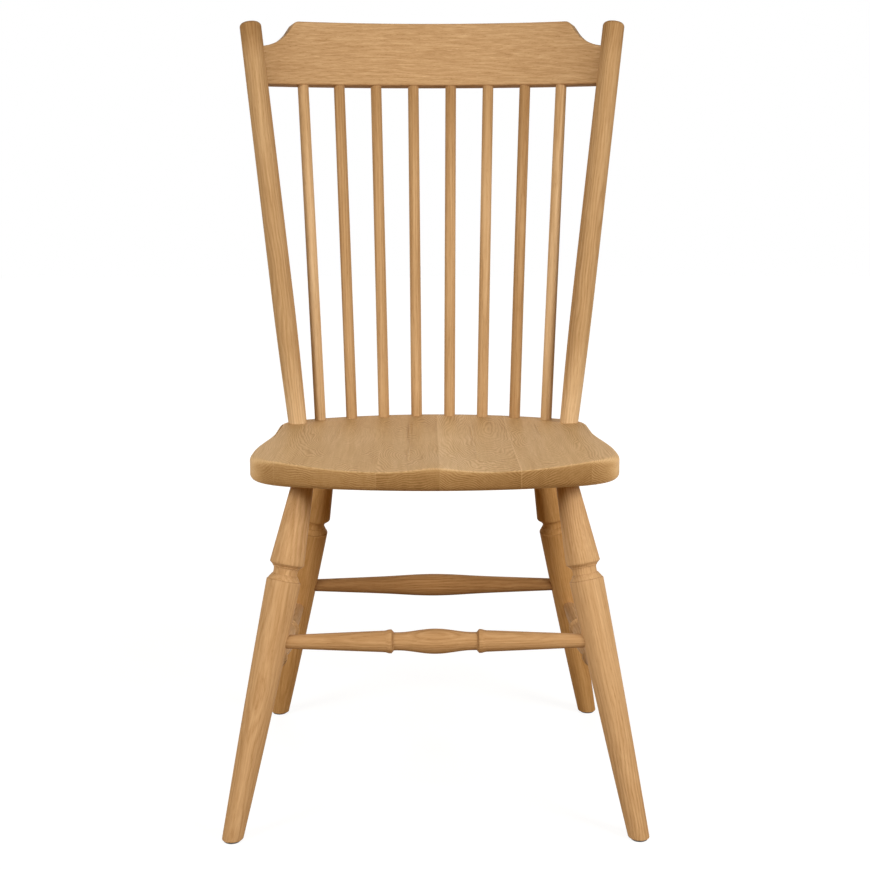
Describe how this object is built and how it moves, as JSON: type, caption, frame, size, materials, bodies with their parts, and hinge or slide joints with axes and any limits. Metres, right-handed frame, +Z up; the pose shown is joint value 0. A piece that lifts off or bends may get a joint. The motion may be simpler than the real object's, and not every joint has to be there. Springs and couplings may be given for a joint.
{
  "type": "windsor side chair",
  "caption": "Spindle-back Windsor dining chair in solid oak: saddled plank seat, turned splayed legs and stretchers, leaning posts, slim spindles and a bowed crest rail.",
  "frame": {"origin": "on the floor, under the middle of the chair's outline box", "axes": "+Z up; the chair faces -Y, so its back leans towards +Y; +X is to the right for someone who looks at its front"},
  "size_m": [0.527, 0.5652, 0.9791],
  "materials": {
    "oak_seat": "satin, clear-finished light oak with open grain",
    "oak_rail": "satin, clear-finished light oak with open grain",
    "oak_spindle": "satin, clear-finished light oak with open grain",
    "oak_turned": "satin, clear-finished light oak with open grain",
    "glide": "matt grey moulded plastic",
    "nail": "bright drawn steel wire"
  },
  "bodies": {
    "root": {"seat_board_1": "oak_seat", "seat_board_2": "oak_seat", "seat_board_3": "oak_seat", "seat_board_4": "oak_seat", "seat_board_5": "oak_seat", "seat_board_6": "oak_seat", "post_left": "oak_turned", "post_right": "oak_turned", "crest_rail": "oak_rail", "spindle_1": "oak_spindle", "spindle_2": "oak_spindle", "spindle_3": "oak_spindle", "spindle_4": "oak_spindle", "spindle_5": "oak_spindle", "spindle_6": "oak_spindle", "spindle_7": "oak_spindle", "spindle_8": "oak_spindle", "leg_front_left": "oak_turned", "leg_front_right": "oak_turned", "leg_rear_left": "oak_turned", "leg_rear_right": "oak_turned", "stretcher_front": "oak_turned", "stretcher_rear": "oak_turned", "stretcher_left": "oak_turned", "stretcher_right": "oak_turned", "glide_front_left": "glide", "glide_front_right": "glide", "glide_rear_left": "glide", "glide_rear_right": "glide", "glide_nail_front_left": "nail", "glide_nail_front_right": "nail", "glide_nail_rear_left": "nail", "glide_nail_rear_right": "nail"}
  },
  "joints": []
}
